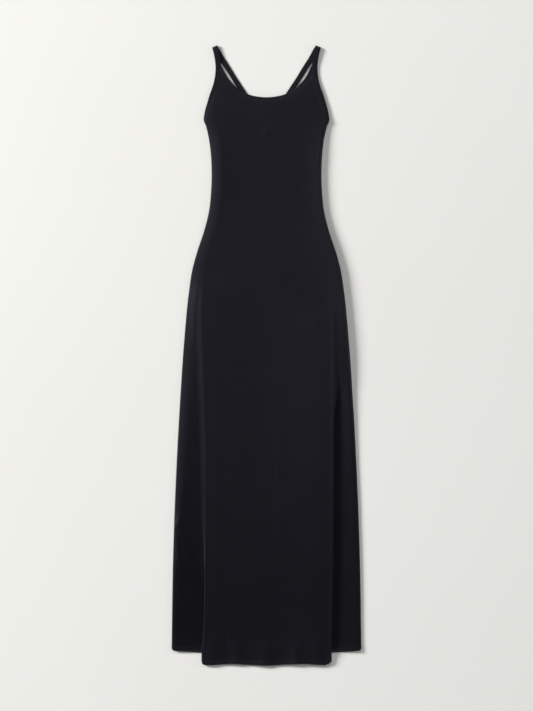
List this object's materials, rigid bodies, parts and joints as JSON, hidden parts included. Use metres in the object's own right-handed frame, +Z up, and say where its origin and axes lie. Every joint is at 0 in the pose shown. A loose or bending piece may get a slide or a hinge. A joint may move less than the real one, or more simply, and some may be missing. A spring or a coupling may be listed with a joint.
{
  "type": "maxi dress",
  "caption": "Long sleeveless jersey dress laid flat, with a bound scoop neck, narrow straps running over to a V back, a shaped waist, and a wide skirt folded under along its sides.",
  "frame": {"origin": "centre of the bounding box in X and Y, at its base: the surface that the dress lies on", "axes": "+Y runs from the hem to the shoulders, +Z points up off the surface, away from the back, and +X points to the right as the front is looked down on with its shoulders away from the viewer"},
  "size_m": [0.458, 1.5018, 0.0118],
  "materials": {
    "jersey": "matte",
    "binding": "matte"
  },
  "bodies": {
    "root": {"front": "jersey", "back": "jersey", "neck_band": "binding", "strap_left": "binding", "strap_right": "binding", "back_band_left": "binding", "back_band_right": "binding"}
  },
  "joints": []
}
